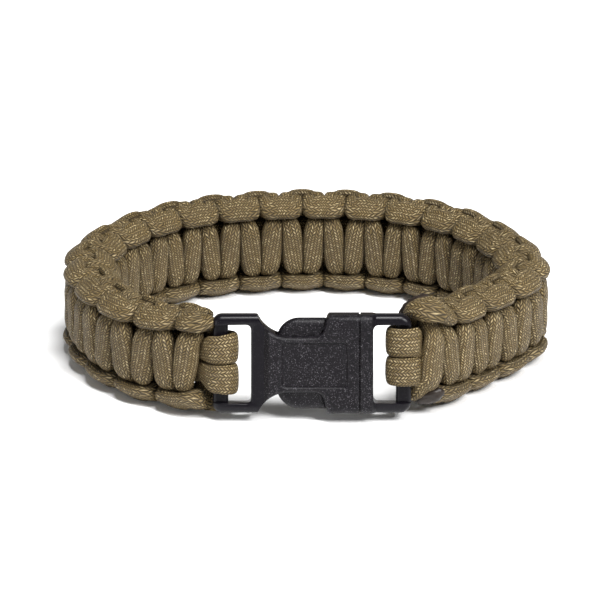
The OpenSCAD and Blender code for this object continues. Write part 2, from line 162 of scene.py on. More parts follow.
@dataclass(frozen=True)
class BraidedNylon:
    """Woven nylon sheath of parachute cord.

    Dull yarn and the braid's relief give a matt surface. Its small bright flecks are painted highlights
    where a yarn would catch the light, its dark creases between yarns are painted shade, and more
    painted shade lies where a neighbouring cord presses on it. The yarns lie in columns along the cord
    that lean left and right by turns. The UV map counts columns across and picks along, so the braid
    follows the cord round every bend.
    """

    name: str = "braided_nylon_sheath"
    yarn: str = "#5f4e2c"
    # Colour of the painted shade in the creases between yarns
    crease_shade: str = "#1c150a"
    # Colour of the painted highlights where a yarn would catch the light
    painted_glint: str = "#b9a880"
    # How far a yarn leans across its column, in picks
    lean: float = 0.95
    # Height of a yarn over its creases
    relief_mm: float = 0.2
    # How far the picks stray from even steps, in picks, and how long such a stretch is
    unevenness: float = 1.6
    stretch_mm: float = 2.0
    # Power that rounds a yarn towards its column's edges, and how far it falls there
    edge_power: float = 0.6
    edge_fall: float = 0.6
    # A yarn's colour against its height: the gain, and the height at which the painted crease shade ends
    height_gain: float = 1.2
    crease_shade_level: float = -0.05
    # How bright a painted glint gets at most and at least, and the power that keeps the painted glints few
    # and small
    glint_most: float = 0.8
    glint_least: float = 0.08
    glint_power: float = 2.5
    # Size and strength of the patches that are a little lighter or darker
    patch_mm: float = 6.25
    patch_range: float = 0.5
    # How much painted shade darkens the cord where a neighbour presses it
    painted_contact_shade: float = 0.3
    roughness: float = 0.62
    ior: float = 1.53
    specular: float = 0.3

    def yarn_height(
        self, tree: bpy.types.NodeTree, place: bpy.types.NodeSocket
    ) -> tuple[bpy.types.NodeSocket, bpy.types.NodeSocket, bpy.types.NodeSocket]:
        """Adds the nodes that lay the yarns out.

        Args:
            tree: the material's node tree.
            place: the object coordinates.

        Returns:
            A yarn's height, its roundness across its column, and a random number of its own.
        """
        uv = add_node(tree, "UVMap", uv_map="braid").outputs[0]
        u, v, _ = add_node(tree, "SeparateXYZ", (uv,)).outputs
        stretch = {"Vector": place, "Scale": 1 / (self.stretch_mm * MM), "Detail": 2.0}
        wander = add_node(tree, "TexNoise", stretch).outputs[0]
        rise = add_node(tree, "Math", (wander, self.unevenness, v), operation="MULTIPLY_ADD").outputs[0]
        column = add_node(tree, "Math", (u,), operation="FLOOR").outputs[0]
        odd = add_node(tree, "Math", (column, 2.0), operation="MODULO").outputs[0]
        lean = add_node(tree, "Math", (odd, 2 * self.lean, -self.lean), operation="MULTIPLY_ADD").outputs[0]
        in_column = add_node(tree, "Math", (u,), operation="FRACT").outputs[0]
        across = add_node(tree, "Math", (in_column, 0.5), operation="SUBTRACT").outputs[0]
        # Every other column starts half a pick further on
        begun = add_node(tree, "Math", (odd, 0.5, rise), operation="MULTIPLY_ADD").outputs[0]
        leaned = add_node(tree, "Math", (across, lean, begun), operation="MULTIPLY_ADD").outputs[0]
        pick = add_node(tree, "Math", (leaned,), operation="FLOOR").outputs[0]
        in_pick = add_node(tree, "Math", (leaned,), operation="FRACT").outputs[0]
        along = add_node(tree, "Math", (in_pick, 0.5), operation="SUBTRACT").outputs[0]
        angle_u = add_node(tree, "Math", (across, math.pi), operation="MULTIPLY").outputs[0]
        hill_u = add_node(tree, "Math", (angle_u,), operation="COSINE").outputs[0]
        angle_v = add_node(tree, "Math", (along, math.pi), operation="MULTIPLY").outputs[0]
        hill_v = add_node(tree, "Math", (angle_v,), operation="COSINE").outputs[0]
        rounded = add_node(tree, "Math", (hill_u, self.edge_power), operation="POWER").outputs[0]
        edge_terms = (rounded, self.edge_fall, 1 - self.edge_fall)
        edge = add_node(tree, "Math", edge_terms, operation="MULTIPLY_ADD").outputs[0]
        height = add_node(tree, "Math", (edge, hill_v), operation="MULTIPLY").outputs[0]
        cell = add_node(tree, "CombineXYZ", (column, pick)).outputs[0]
        luck = add_node(tree, "TexWhiteNoise", (cell,), noise_dimensions="3D").outputs[0]
        return height, hill_u, luck

    def material(self) -> bpy.types.Material:
        """Builds the sheath's material."""
        material, tree, shader = new_material(self.name)
        place = add_node(tree, "TexCoord").outputs["Object"]
        height, hill_u, luck = self.yarn_height(tree, place)
        # Painted highlights: pale flecks at the crowns of some yarns, where they would catch the light
        few = add_node(tree, "Math", (luck, self.glint_power), operation="POWER").outputs[0]
        share_terms = (few, self.glint_most, self.glint_least)
        share = add_node(tree, "Math", share_terms, operation="MULTIPLY_ADD").outputs[0]
        crown = add_node(tree, "Math", (hill_u, height), operation="MULTIPLY").outputs[0]
        small = add_node(tree, "Math", (crown, self.glint_power), operation="POWER").outputs[0]
        bright = add_node(tree, "Math", (share, small), operation="MULTIPLY").outputs[0]
        # Painted shade: the yarn's colour darkens towards the creases between yarns
        level_terms = (height, self.height_gain, self.crease_shade_level)
        level = add_node(tree, "Math", level_terms, operation="MULTIPLY_ADD").outputs[0]
        colours = {0: level, 6: linear(self.crease_shade), 7: linear(self.yarn)}
        dark = add_node(tree, "Mix", colours, data_type="RGBA").outputs[2]
        colours = {0: bright, 6: dark, 7: linear(self.painted_glint)}
        lit = add_node(tree, "Mix", colours, data_type="RGBA").outputs[2]
        # Painted shade where a neighbouring cord presses on this one, read from the pressed attribute
        contact_shade_mask = add_node(tree, "Attribute", attribute_name="pressed").outputs["Fac"]
        shade_terms = (contact_shade_mask, -self.painted_contact_shade, 1.0)
        shade = add_node(tree, "Math", shade_terms, operation="MULTIPLY_ADD").outputs[0]
        patch = {"Vector": place, "Scale": 1 / (self.patch_mm * MM), "Detail": 3.0}
        cloud = add_node(tree, "TexNoise", patch).outputs[0]
        cloud_terms = (cloud, self.patch_range, 1 - self.patch_range / 2)
        cloudy = add_node(tree, "Math", cloud_terms, operation="MULTIPLY_ADD").outputs[0]
        tone = add_node(tree, "Math", (shade, cloudy), operation="MULTIPLY").outputs[0]
        toned = add_node(tree, "HueSaturation", {"Color": lit, "Value": tone}).outputs[0]
        relief = {"Height": height, "Strength": 1.0, "Distance": self.relief_mm * MM}
        bump = add_node(tree, "Bump", relief).outputs[0]
        feed(tree, shader, {"Base Color": toned, "Normal": bump, "Roughness": self.roughness})
        feed(tree, shader, {"IOR": self.ior, "Specular IOR Level": self.specular})
        return material


@dataclass(frozen=True)
class MouldedAcetal:
    """Black acetal, injection moulded in a spark-eroded tool.

    The tool's grain gives the body a matt black, with fine pale specks painted where the grain would
    glint in the light. With little grain and few painted glints it is the soft satin of the cord frames
    and of the wall round the panel.
    """

    name: str = "moulded_acetal"
    black: str = "#08060a"
    # Colour of the painted glints where the grain would catch the light
    sparkle_glint: str = "#88848a"
    # The real grain is under 0.1 mm, too fine to show, so it is drawn coarser
    grain_mm: float = 0.13
    relief_mm: float = 0.05
    # How much finer the relief is than the painted glints
    relief_finer: float = 1.5
    # Power that keeps the painted glints few, and how pale they get
    sparkle_power: float = 18.0
    sparkle_share: float = 0.42
    # How strong the grain and its painted glints are, from 0 to 1
    grain_and_glint: float = 1.0
    roughness: float = 0.36
    ior: float = 1.48
    specular: float = 0.2

    def material(self) -> bpy.types.Material:
        """Builds the plastic's material."""
        material, tree, shader = new_material(self.name)
        place = add_node(tree, "TexCoord").outputs["Object"]
        size = 1 / (self.grain_mm * MM)
        grit = {"Vector": place, "Scale": size * self.relief_finer, "Detail": 2.0}
        height = add_node(tree, "TexNoise", grit).outputs[0]
        # Painted glints: a few pale grains where the eroded surface would catch the light
        grains = add_node(tree, "TexVoronoi", {"Vector": place, "Scale": size}).outputs["Color"]
        luck = add_node(tree, "SeparateXYZ", (grains,)).outputs[0]
        few = add_node(tree, "Math", (luck, self.sparkle_power), operation="POWER").outputs[0]
        spark = add_node(tree, "Math", (few, self.sparkle_share * self.grain_and_glint), operation="MULTIPLY").outputs[0]
        colours = {0: spark, 6: linear(self.black), 7: linear(self.sparkle_glint)}
        tint = add_node(tree, "Mix", colours, data_type="RGBA").outputs[2]
        relief = {"Height": height, "Strength": self.grain_and_glint, "Distance": self.relief_mm * MM}
        bump = add_node(tree, "Bump", relief).outputs[0]
        feed(tree, shader, {"Base Color": tint, "Normal": bump, "Roughness": self.roughness})
        feed(tree, shader, {"IOR": self.ior, "Specular IOR Level": self.specular})
        return material


@dataclass(frozen=True)
class MeltedNylon:
    """Nylon cut with a hot knife.

    The melt draws into lumps and chars, which gives a burnt brown, glossier than the yarn.
    """

    name: str = "melted_nylon"
    burnt: str = "#17100c"
    edge: str = "#3b322b"
    # A lump is about 1.4 mm across
    lumps_per_mm: float = 0.7
    # Power that keeps the paler edges narrow
    edge_power: float = 2.5
    relief_mm: float = 0.2
    relief_strength: float = 0.8
    roughness: float = 0.4
    ior: float = 1.53
    specular: float = 0.25

    def material(self) -> bpy.types.Material:
        """Builds the melted tip's material."""
        material, tree, shader = new_material(self.name)
        place = add_node(tree, "TexCoord").outputs["Object"]
        lumpy = {"Vector": place, "Scale": self.lumps_per_mm / MM, "Detail": 4.0}
        lumps = add_node(tree, "TexNoise", lumpy).outputs[0]
        pale = add_node(tree, "Math", (lumps, self.edge_power), operation="POWER").outputs[0]
        colours = {0: pale, 6: linear(self.burnt), 7: linear(self.edge)}
        tint = add_node(tree, "Mix", colours, data_type="RGBA").outputs[2]
        relief = {"Height": lumps, "Strength": self.relief_strength, "Distance": self.relief_mm * MM}
        bump = add_node(tree, "Bump", relief).outputs[0]
        feed(tree, shader, {"Base Color": tint, "Normal": bump, "Roughness": self.roughness})
        feed(tree, shader, {"IOR": self.ior, "Specular IOR Level": self.specular})
        return material


@dataclass(frozen=True)
class StudioPaper:
    """Seamless white paper under the object, matt and without a pattern at this distance."""

    name: str = "studio_paper"
    white: str = "#f7f7f7"
    roughness: float = 0.9

    def material(self) -> bpy.types.Material:
        """Builds the paper's material."""
        material, tree, shader = new_material(self.name)
        feed(tree, shader, {"Base Color": linear(self.white), "Roughness": self.roughness})
        return material


def curve_between(
    a: np.ndarray, b: np.ndarray, c: np.ndarray, d: np.ndarray, f: np.ndarray | float
) -> np.ndarray:
    """Gives a place between the middle two of four places on the smooth curve through them.

    Args:
        a: the place before.
        b: the place where the stretch starts.
        c: the place where it ends.
        d: the place after.
        f: how far along the stretch, from 0 to 1.

    Returns:
        The place.
    """
    bend = a - 2.5 * b + 2 * c - d / 2
    twist = 1.5 * (b - c) + (d - a) / 2
    return b + f * ((c - a) / 2 + f * (bend + f * twist))


def ease(share: np.ndarray) -> np.ndarray:
    """Turns an even run from 0 to 1 into one that starts and ends level."""
    return share * share * (3 - 2 * share)


def unit_rows(vectors: np.ndarray) -> np.ndarray:
    """Scales each row to length one."""
    return vectors / np.maximum(np.linalg.norm(vectors, axis=1, keepdims=True), 1e-9)


@dataclass
class Loop:
    """The band's middle line seen from above, from the socket's bar to the plug's, in millimetres."""

    half_width: float = 45.7
    depth: float = 72.0
    buckle_x: float = 1.4
    bar_x: float = 18.9
    bar_back: float = 0.4
    band_w: float = 21.4
    half_thick: float = 5.25
    # The buckle leans back by so many degrees, and the band stands upright this far from it
    lean: float = 12.0
    lean_reach: float = 16.0
    # From each bar to the middle of the half knot next to it
    start_gap: float = 6.4
    end_gap: float = 5.0
    # How far the half knots at the back are slid towards the plug
    slide: float = 2.4
    # Points worked out in each span, and the part of a span over which the heading is measured
    steps: int = 16
    heading_step: float = 0.02
    # Columns: across as a share of the half width, back as a share of the depth
    shares: tuple[tuple[float, float], ...] = (
        (-0.80, 0.185),
        (-0.985, 0.43),
        (-0.955, 0.65),
        (-0.73, 0.845),
        (-0.42, 0.955),
        (0.03, 1.0),
        (0.44, 0.96),
        (0.76, 0.83),
        (0.965, 0.62),
        (0.985, 0.41),
        (0.71, 0.185),
    )

    def __post_init__(self) -> None:
        """Works out the curve's points and lengths."""
        start = (self.buckle_x - self.bar_x, self.bar_back)
        end = (self.buckle_x + self.bar_x, self.bar_back)
        inner = [(a * self.half_width, b * self.depth) for a, b in self.shares]
        points = np.array([start, *inner, end])
        self.points = np.vstack([2 * points[0] - points[1], points, 2 * points[-1] - points[-2]])
        self.spans = len(points) - 1
        self.table_u = np.arange(self.spans * self.steps + 1) / self.steps
        samples = self.curve(self.table_u)
        runs = np.linalg.norm(np.diff(samples, axis=0), axis=1)
        self.table_s = np.concatenate([[0.0], np.cumsum(runs)])
        self.length = float(self.table_s[-1])

    def curve(self, u: np.ndarray) -> np.ndarray:
        """Gives the curve's points at places counted in spans.

        Args:
            u: places, from 0 to the number of spans.

        Returns:
            Points across and back.
        """
        i = np.clip(np.floor(u).astype(int), 0, self.spans - 1)
        f = (u - i)[:, None]
        a, b, c, d = (self.points[i + k] for k in range(4))
        return curve_between(a, b, c, d, f)

    def place(self, local: np.ndarray) -> np.ndarray:
        """Puts points of the straight band on the loop, leaning with the buckle near the bars.

        Args:
            local: rows of along, up and out.

        Returns:
            Points in the part's frame, in metres.
        """
        inside = np.clip(local[:, 0], 0, self.length)
        woven = np.clip((inside - self.start_gap) / (self.length - self.start_gap - self.end_gap), 0, 1)
        slid = inside + self.slide * np.sin(math.pi * woven)
        u = np.interp(slid, self.table_s, self.table_u)
        middle = self.curve(u)
        ahead = self.curve(np.minimum(u + self.heading_step, self.spans))
        behind = self.curve(np.maximum(u - self.heading_step, 0))
        heading = unit_rows(ahead - behind)
        beyond = local[:, 0] - inside
        across = heading[:, 0] * beyond - heading[:, 1] * local[:, 2]
        back = heading[:, 1] * beyond + heading[:, 0] * local[:, 2]
        share = np.clip(np.minimum(slid, self.length - slid) / self.lean_reach, 0, 1)
        lean = np.radians(self.lean) * (1 - ease(share))
        lift = self.lift(lean)
        x = middle[:, 0] + across - MIDDLE[0]
        y = middle[:, 1] + back * np.cos(lean) + local[:, 1] * np.sin(lean) - MIDDLE[1]
        z = MIDDLE[2] + local[:, 1] * np.cos(lean) - back * np.sin(lean) + lift
        # The soft cord lies flat where it rests on the floor
        z = np.maximum(z, 0)
        return np.column_stack([x, y, z]) * MM

    def lift(self, lean: np.ndarray) -> np.ndarray:
        """Says how far a leaning band is raised so that its lower edge stays on the floor."""
        return np.maximum(0, self.half_thick * np.sin(lean) - self.band_w / 2 * (1 - np.cos(lean)))


def smooth_rows(rows: np.ndarray, steps: int) -> np.ndarray:
    """Runs a smooth curve through table rows.

    Args:
        rows: one row of numbers for each place.
        steps: pieces between two rows.

    Returns:
        The finer rows.
    """
    padded = np.vstack([2 * rows[0] - rows[1], rows, 2 * rows[-1] - rows[-2]])
    a, b, c, d = padded[:-3], padded[1:-2], padded[2:-1], padded[3:]
    fine = []
    for step in range(steps):
        fine.append(curve_between(a, b, c, d, step / steps))
    stacked = np.stack(fine, axis=1).reshape(-1, rows.shape[1])
    return np.vstack([stacked, rows[-1:]])


@dataclass
class Sheath:
    """Turns a cord's middle line into a braided tube that is pressed flat against its neighbours."""

    # The real sheath has about 32 columns, each 0.4 mm wide. They melt into lines in the render, so
    # the braid is drawn with fewer and wider ones
    columns: int = 20
    pick_mm: float = 0.58
    corners: int = 28

    def angles(self) -> np.ndarray:
        """Gives the corners' angles round a section."""
        return 2 * math.pi * np.arange(self.corners) / self.corners

    def tube(
        self, name: str, centres: np.ndarray, offsets: np.ndarray, pressed: np.ndarray, loop: Loop
    ) -> bpy.types.Object:
        """Skins the sections of a cord.

        Args:
            name: the new object's name.
            centres: the middle line in band coordinates.
            offsets: each section's corners from its centre.
            pressed: how much painted contact shade each corner gets where a neighbour presses it in, from 0
                to 1.
            loop: the band's middle line.

        Returns:
            The cord, with its braid's UV map and its painted contact shade as an attribute.
        """
        rings, corners = offsets.shape[:2]
        local = (centres[:, None, :] + offsets).reshape(-1, 3)
        points = loop.place(local)
        middles = loop.place(centres)
        grid = points.reshape(rings, corners, 3)
        around = np.linalg.norm(np.roll(grid, -1, axis=1) - grid, axis=2)
        shares = np.concatenate([np.zeros((rings, 1)), np.cumsum(around, axis=1)], axis=1)
        shares = shares / shares[:, -1:] * self.columns
        steps = np.linalg.norm(np.diff(middles, axis=0), axis=1)
        along = np.concatenate([[0.0], np.cumsum(steps)]) / (self.pick_mm * MM)
        i, j = np.meshgrid(np.arange(rings - 1), np.arange(corners), indexing="ij")
        i, j = i.ravel(), j.ravel()
        k = (j + 1) % corners
        a, b = i * corners + j, i * corners + k
        faces = np.column_stack([a, b, b + corners, a + corners]).tolist()
        caps = [list(range(corners))[::-1], list(range((rings - 1) * corners, rings * corners))]
        mesh = bpy.data.meshes.new(name)
        mesh.from_pydata(points.tolist(), [], faces + caps)
        uv = mesh.uv_layers.new(name="braid")
        u = np.column_stack([shares[i, j], shares[i, j + 1], shares[i + 1, j + 1], shares[i + 1, j]])
        v = np.column_stack([along[i], along[i], along[i + 1], along[i + 1]])
        wall = np.stack([u, v], axis=2).reshape(-1)
        ends = np.zeros(4 * corners)
        uv.data.foreach_set("uv", np.concatenate([wall, ends]).astype(np.float32))
        # The painted contact shade is kept in the mesh attribute named pressed
        contact_shade_mask = mesh.attributes.new("pressed", "FLOAT", "POINT")
        contact_shade_mask.data.foreach_set("value", pressed.ravel().astype(np.float32))
        mesh.polygons.foreach_set("use_smooth", [True] * len(mesh.polygons))
        mesh.update()
        obj = bpy.data.objects.new(name, mesh)
        bpy.context.scene.collection.objects.link(obj)
        return obj


@dataclass
class CobraWeave:
    """The two working strands, which make half knots round the core cords, in millimetres."""

    loop: Loop
    knots: int = 45
    cord_w: float = 4.7
    cord_t: float = 3.5
    face_rise: float = 3.5
    core_w: float = 5.0
    cord_gap: float = 0.04
    # How full a section is: 2 is an ellipse, and more is squarer
    fullness: float = 3.0
    # How sharply a section's own curve turns into a side that is pressed flat
    press_power: float = 12.0
    # Least reach of a pressed section from its middle
    least_reach: float = 0.15
    # Depth over which a pressed side gets painted contact shade, and how much painted shade it has before it
    # touches
    contact_shade_mm: float = 0.8
    contact_shade_start: float = 0.2
    # A section is pressed by what lies within so many pitches, but not by its own next rows
    near_pitches: float = 3.2
    own_rows: int = 3
    steps: int = 4
    sheath: Sheath = field(default_factory=Sheath)
    # Columns: along as a share of the pitch, up as a share of the half height, out as a share of
    # the face's rise, width and thickness as shares of the strand's
    table: tuple[tuple[float, ...], ...] = (
        (0.00, 0.00, 1.00, 1.25, 1.00),
        (-0.15, 0.37, 1.02, 1.15, 0.95),
        (-0.27, 0.54, 0.62, 0.96, 0.95),
        (-0.28, 0.77, 0.02, 1.05, 1.45),
        (-0.02, 0.77, -0.66, 1.60, 1.05),
        (0.50, 0.79, -0.74, 1.90, 1.05),
    )
    # First rows behind the socket's bar: along, up, out, width and thickness, in millimetres
    outer_start: tuple[tuple[float, ...], ...] = (
        (2.7, -3.2, -3.0, 5.0, 1.9),
        (3.0, -6.0, -3.5, 4.7, 2.8),
    )
    inner_start: tuple[tuple[float, ...], ...] = (
        (2.7, 3.2, -3.0, 5.0, 1.9),
        (3.9, 5.5, -2.6, 4.7, 3.15),
        (4.0, 7.3, -0.5, 4.7, 3.5),
    )
    # Rows of the last half knot that each strand still makes before it is cut
    outer_end_rows: int = 5
    inner_end_rows: int = 4
    # The last cap at the top, by the plug, with the first column counted from its bar
    last_cap: tuple[tuple[float, ...], ...] = (
        (-7.9, 9.4, 2.4, 8.9, 3.9),
        (-5.9, 10.2, 2.0, 9.4, 4.3),
        (-4.9, 9.8, -0.7, 7.0, 4.4),
        (-5.0, 6.8, -2.6, 4.2, 3.3),
    )
    # The last turn at the bottom, pulled up by the plug
    last_turn: tuple[tuple[float, ...], ...] = (
        (-7.2, -8.0, -2.6, 8.0, 3.6),
        (-5.2, -7.4, -2.2, 7.0, 3.6),
        (-3.7, -6.6, 0.1, 4.7, 4.6),
        (-3.8, -5.2, 2.3, 4.6, 3.3),
    )

    def __post_init__(self) -> None:
        """Works out the pitch and the two middle lines."""
        self.pitch = (self.loop.length - self.loop.start_gap - self.loop.end_gap) / (self.knots - 1)
        self.rows = {side: smooth_rows(self.strand(side), self.steps) for side in Side}

    def knot_row(self, side: Side, knot: int, row: int) -> list[float]:
        """Gives one row of one half knot.

        Args:
            side: the working strand.
            knot: the half knot's number.
            row: the row, from 0 to 9.

        Returns:
            Along, up, out, width and thickness, in millimetres.
        """
        half = len(self.table) - 1
        mirrored = row > half
        share = self.table[2 * half - row if mirrored else row]
        along = 1 - share[0] if mirrored else share[0]
        flip = -1 if knot % 2 == 0 else 1
        return [
            self.loop.start_gap + (knot - 1 + along) * self.pitch,
            side.value * flip * share[1] * self.loop.band_w / 2,
            side.value * share[2] * self.face_rise,
            share[3] * self.cord_w,
            share[4] * self.cord_t,
        ]

    def strand(self, side: Side) -> np.ndarray:
        """Lists a working strand's rows from the socket's bar to its melted tip.

        Args:
            side: the working strand.

        Returns:
            Rows of along, up, out, width and thickness, in millimetres.
        """
        half = len(self.table) - 1
        start = self.outer_start if side is Side.OUTER else self.inner_start
        last = self.outer_end_rows if side is Side.OUTER else self.inner_end_rows
        rows = [list(row) for row in start]
        rows += [self.knot_row(side, 0, i) for i in range(half, 2 * half)]
        rows += [self.knot_row(side, k, i) for k in range(1, self.knots) for i in range(2 * half)]
        rows += [self.knot_row(side, self.knots, i) for i in range(last)]
        # Rows from the middle of the last cap or turn on are taken from its own table
        first = len(start) + (self.knots - 1) * 2 * half
        for n, row in enumerate(self.last_cap if side is Side.INNER else self.last_turn):
            rows[first + n] = [self.loop.length + row[0], *row[1:]]
        return np.array(rows)

    def sections(self, side: Side) -> tuple[np.ndarray, np.ndarray, np.ndarray]:
        """Works out each section's corners: a squarish oval pressed flat halfway to every neighbour.

        Args:
            side: the working strand.

        Returns:
            The middle line, the corners' offsets, and how much painted contact shade each corner gets.
        """
        rows = self.rows[side]
        centres = rows[:, :3]
        tangents = unit_rows(np.gradient(centres, axis=0))
        edge = np.clip(centres[:, 1], -self.core_w, self.core_w)
        away = np.column_stack([np.zeros(len(rows)), centres[:, 1] - edge, centres[:, 2]])
        away -= np.sum(away * tangents, axis=1, keepdims=True) * tangents
        away = unit_rows(away)
        beside = np.cross(tangents, away)
        cos, sin = np.cos(self.sheath.angles()), np.sin(self.sheath.angles())
        others = np.vstack([self.rows[s][:, :3] for s in Side])
        own = np.concatenate([np.full(len(self.rows[s]), s is side) for s in Side])
        order = np.concatenate([np.arange(len(self.rows[s])) for s in Side])
        facing = cos[None, :, None] * away[:, None, :] + sin[None, :, None] * beside[:, None, :]
        reaches = np.empty((len(rows), self.sheath.corners))
        contact_shade = np.empty_like(reaches)
        ahead, far = 0.02, 1e3
        for n, centre in enumerate(centres):
            near = np.abs(others[:, 0] - centre[0]) < self.near_pitches * self.pitch
            near &= ~(own & (np.abs(order - n) < self.own_rows))
            gap = others[near] - centre
            toward = facing[n] @ gap.T
            length = np.sum(gap * gap, axis=1)
            # A neighbour that isn't ahead of a corner doesn't press it
            halfway = np.where(toward > ahead, length / (2 * np.maximum(toward, ahead)), far)
            pressed = np.maximum(halfway.min(axis=1) - self.cord_gap / 2, self.least_reach)
            half_w, half_t = rows[n, 3] / 2, rows[n, 4] / 2
            flatness = np.abs(cos / half_t) ** self.fullness + np.abs(sin / half_w) ** self.fullness
            free = flatness ** (-1 / self.fullness)
            both = free**-self.press_power + pressed**-self.press_power
            reaches[n] = both ** (-1 / self.press_power)
            # Painted shade on corners that a neighbouring strand presses in
            contact_shade[n] = np.clip((free - pressed) / self.contact_shade_mm + self.contact_shade_start, 0, 1)
        return centres, soften(reaches)[:, :, None] * facing, contact_shade

    def build(self, side: Side, finish: BraidedNylon) -> bpy.types.Object:
        """Makes one working strand.

        Args:
            side: the working strand.
            finish: its sheath.

        Returns:
            The strand.
        """
        node = "outer_cord" if side is Side.OUTER else "inner_cord"
        centres, offsets, contact_shade = self.sections(side)
        strand = self.sheath.tube(f"{side.name.lower()}_strand", centres, offsets, contact_shade, self.loop)
        dress(strand, finish.material(), "paracord", node)
        return strand


def soften(reaches: np.ndarray) -> np.ndarray:
    """Rounds a tube's section sizes over neighbouring corners and rings, never past a tenth more.

    Args:
        reaches: the corners' distances from each section's middle.

    Returns:
        The rounded distances.
    """
    beside, middle, most = 0.25, 0.5, 1.1
    soft = reaches
    for _ in range(2):
        soft = beside * np.roll(soft, 1, axis=1) + middle * soft + beside * np.roll(soft, -1, axis=1)
        padded = np.vstack([soft[:1], soft, soft[-1:]])
        soft = beside * padded[:-2] + middle * padded[1:-1] + beside * padded[2:]
    return np.minimum(soft, reaches * most)


def dress(obj: bpy.types.Object, material: bpy.types.Material, slot: str, *nodes: str) -> None:
    """Gives a finished piece its material and its place in the frame.

    Args:
        obj: the piece.
        material: its material.
        slot: the record's material slot; not used.
        nodes: the frame's nodes that it stands for.
    """
    obj.data.materials.clear()
    obj.data.materials.append(material)
    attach(obj, "root")
    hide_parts(*nodes)


@dataclass
class CoreCords:
    """The two cords in the middle, flat round each bar and tucked back into the band, in millimetres."""

    loop: Loop
    weave: CobraWeave
    core_t: float = 3.0
    flat_w: float = 6.3
    flat_t: float = 1.9
    # Space between the two cords, and between the two layers of one
    cord_gap: float = 0.2
    bar_reach: float = 1.66
    bar_gap: float = 0.25
    # How much narrower the cords are in front of the socket's bar than behind it
    bar_draw: float = 0.08
    # Degrees between two rows round a bar
    wrap_step: int = 30
    # Rows past the socket's bar: along, and width, rise and thickness as shares of those on the bar
    leaving: tuple[tuple[float, float, float, float], ...] = ((1.8, 0.82, 0.74, 1.1), (3.9, 0.70, 0.30, 1.3))
    # The cords are narrower on the plug's bar, and pushed up from some way before it
    plug_flat_w: float = 5.9
    plug_shift: float = 1.5
    shift_from: float = 3.0
    shift_len: float = 2.6
    # Row just before the plug's bar: back from it, and width, rise and thickness as shares
    plug_row: tuple[float, float, float, float] = (2.1, 0.95, 0.7, 0.9)
    # Row past the last half knot: how far past it, and width as a share
    knot_row: tuple[float, float] = (1.2, 1.05)
    # Share of its thickness that a cord has under the first half knot
    first_thin: float = 0.9
    # Half knots at the plug's end that hold a doubled cord, or are too near it to have a row
    tuck_knots: int = 4
    # Where the cord doubles, back from the plug's bar, and how much shorter its cut end is
    tuck_len: float = 9.0
    tuck_step: float = 1.0
    # Power that makes the sections squarish: 1 is an ellipse, and less is squarer
    squareness: float = 0.7
    steps: int = 4
    sheath: Sheath = field(default_factory=Sheath)

    def rows(self) -> np.ndarray:
        """Lists the upper core cord's rows: along, up, out, width and thickness."""
        wrap_r = self.bar_reach + self.bar_gap + self.flat_t / 2
        core_w, plug_w = self.weave.core_w, self.plug_flat_w
        up, flat_up, plug_up = ((w + self.cord_gap) / 2 for w in (core_w, self.flat_w, plug_w))
        start, end = self.loop.start_gap, self.loop.length
        layer_t = (self.core_t - self.cord_gap) / 2
        layer = (layer_t + self.cord_gap) / 2
        rows: list[tuple[float, ...]] = []
        for degrees in range(-90, 91, self.wrap_step):
            a = math.radians(degrees)
            draw = 1 - self.bar_draw * max(0, math.sin(a)) ** 2
            along, out = -wrap_r * math.cos(a), wrap_r * math.sin(a)
            rows.append((along, flat_up * draw, out, self.flat_w * draw, self.flat_t))
        for along, wide, rise, thick in self.leaving:
            rows.append((along, flat_up * wide, wrap_r * rise, self.flat_w * wide, self.flat_t * thick))
        rows.append((start, up, 0, core_w, self.core_t * self.first_thin))
        for k in range(1, self.weave.knots - self.tuck_knots):
            rows.append((start + k * self.weave.pitch, up, 0, core_w, self.core_t))
        past, wide = self.knot_row
        near = (end - self.loop.end_gap + past, up * wide, layer, core_w * wide, layer_t)
        back, wide, rise, thick = self.plug_row
        last = (end - back, plug_up * wide, wrap_r * rise, plug_w * wide, self.flat_t * thick)
        rows += [(end - self.tuck_len, up, layer, core_w, layer_t), near, last]
        for degrees in range(90, -91, -self.wrap_step):
            a = math.radians(degrees)
            rows.append((end + wrap_r * math.cos(a), plug_up, wrap_r * math.sin(a), plug_w, self.flat_t))
        rows += [(*row[:2], -row[2], *row[3:]) for row in (last, near)]
        rows.append((end - self.tuck_len + self.tuck_step, up, -layer, core_w, layer_t))
        return np.array(rows)

    def build(self, core: Core, finish: BraidedNylon) -> bpy.types.Object:
        """Makes one core cord.

        Args:
            core: the upper or the lower cord.
            finish: its sheath.

        Returns:
            The cord.
        """
        rows = smooth_rows(self.rows(), self.steps)
        centres = rows[:, :3] * np.array([1, core.value, 1])
        share = np.clip((centres[:, 0] - self.loop.length + self.shift_from) / self.shift_len, 0, 1)
        centres[:, 1] += self.plug_shift * ease(share)
        tangents = unit_rows(np.gradient(centres, axis=0))
        upward = unit_rows(np.array([0.0, 1.0, 0.0]) - tangents[:, 1:2] * tangents)
        outward = np.cross(tangents, upward)
        offsets = np.zeros((len(rows), self.sheath.corners, 3))
        for turn, sizes, axis in ((np.cos, rows[:, 3], upward), (np.sin, rows[:, 4], outward)):
            reach = turn(self.sheath.angles())
            reach = np.sign(reach) * np.abs(reach) ** self.squareness
            offsets += reach[None, :, None] * sizes[:, None, None] / 2 * axis[:, None, :]
        pressed = np.zeros(offsets.shape[:2])
        cord = self.sheath.tube(f"{core.name.lower()}_core", centres, offsets, pressed, self.loop)
        dress(cord, finish.material(), "paracord", f"core_cord_{core.name.lower()}")
        return cord


@dataclass(frozen=True)
class Bead:
    """A melted tip's middle and half sizes in millimetres, and its tilt in degrees."""

    middle: tuple[float, float, float]
    half: tuple[float, float, float]
    tilt: float


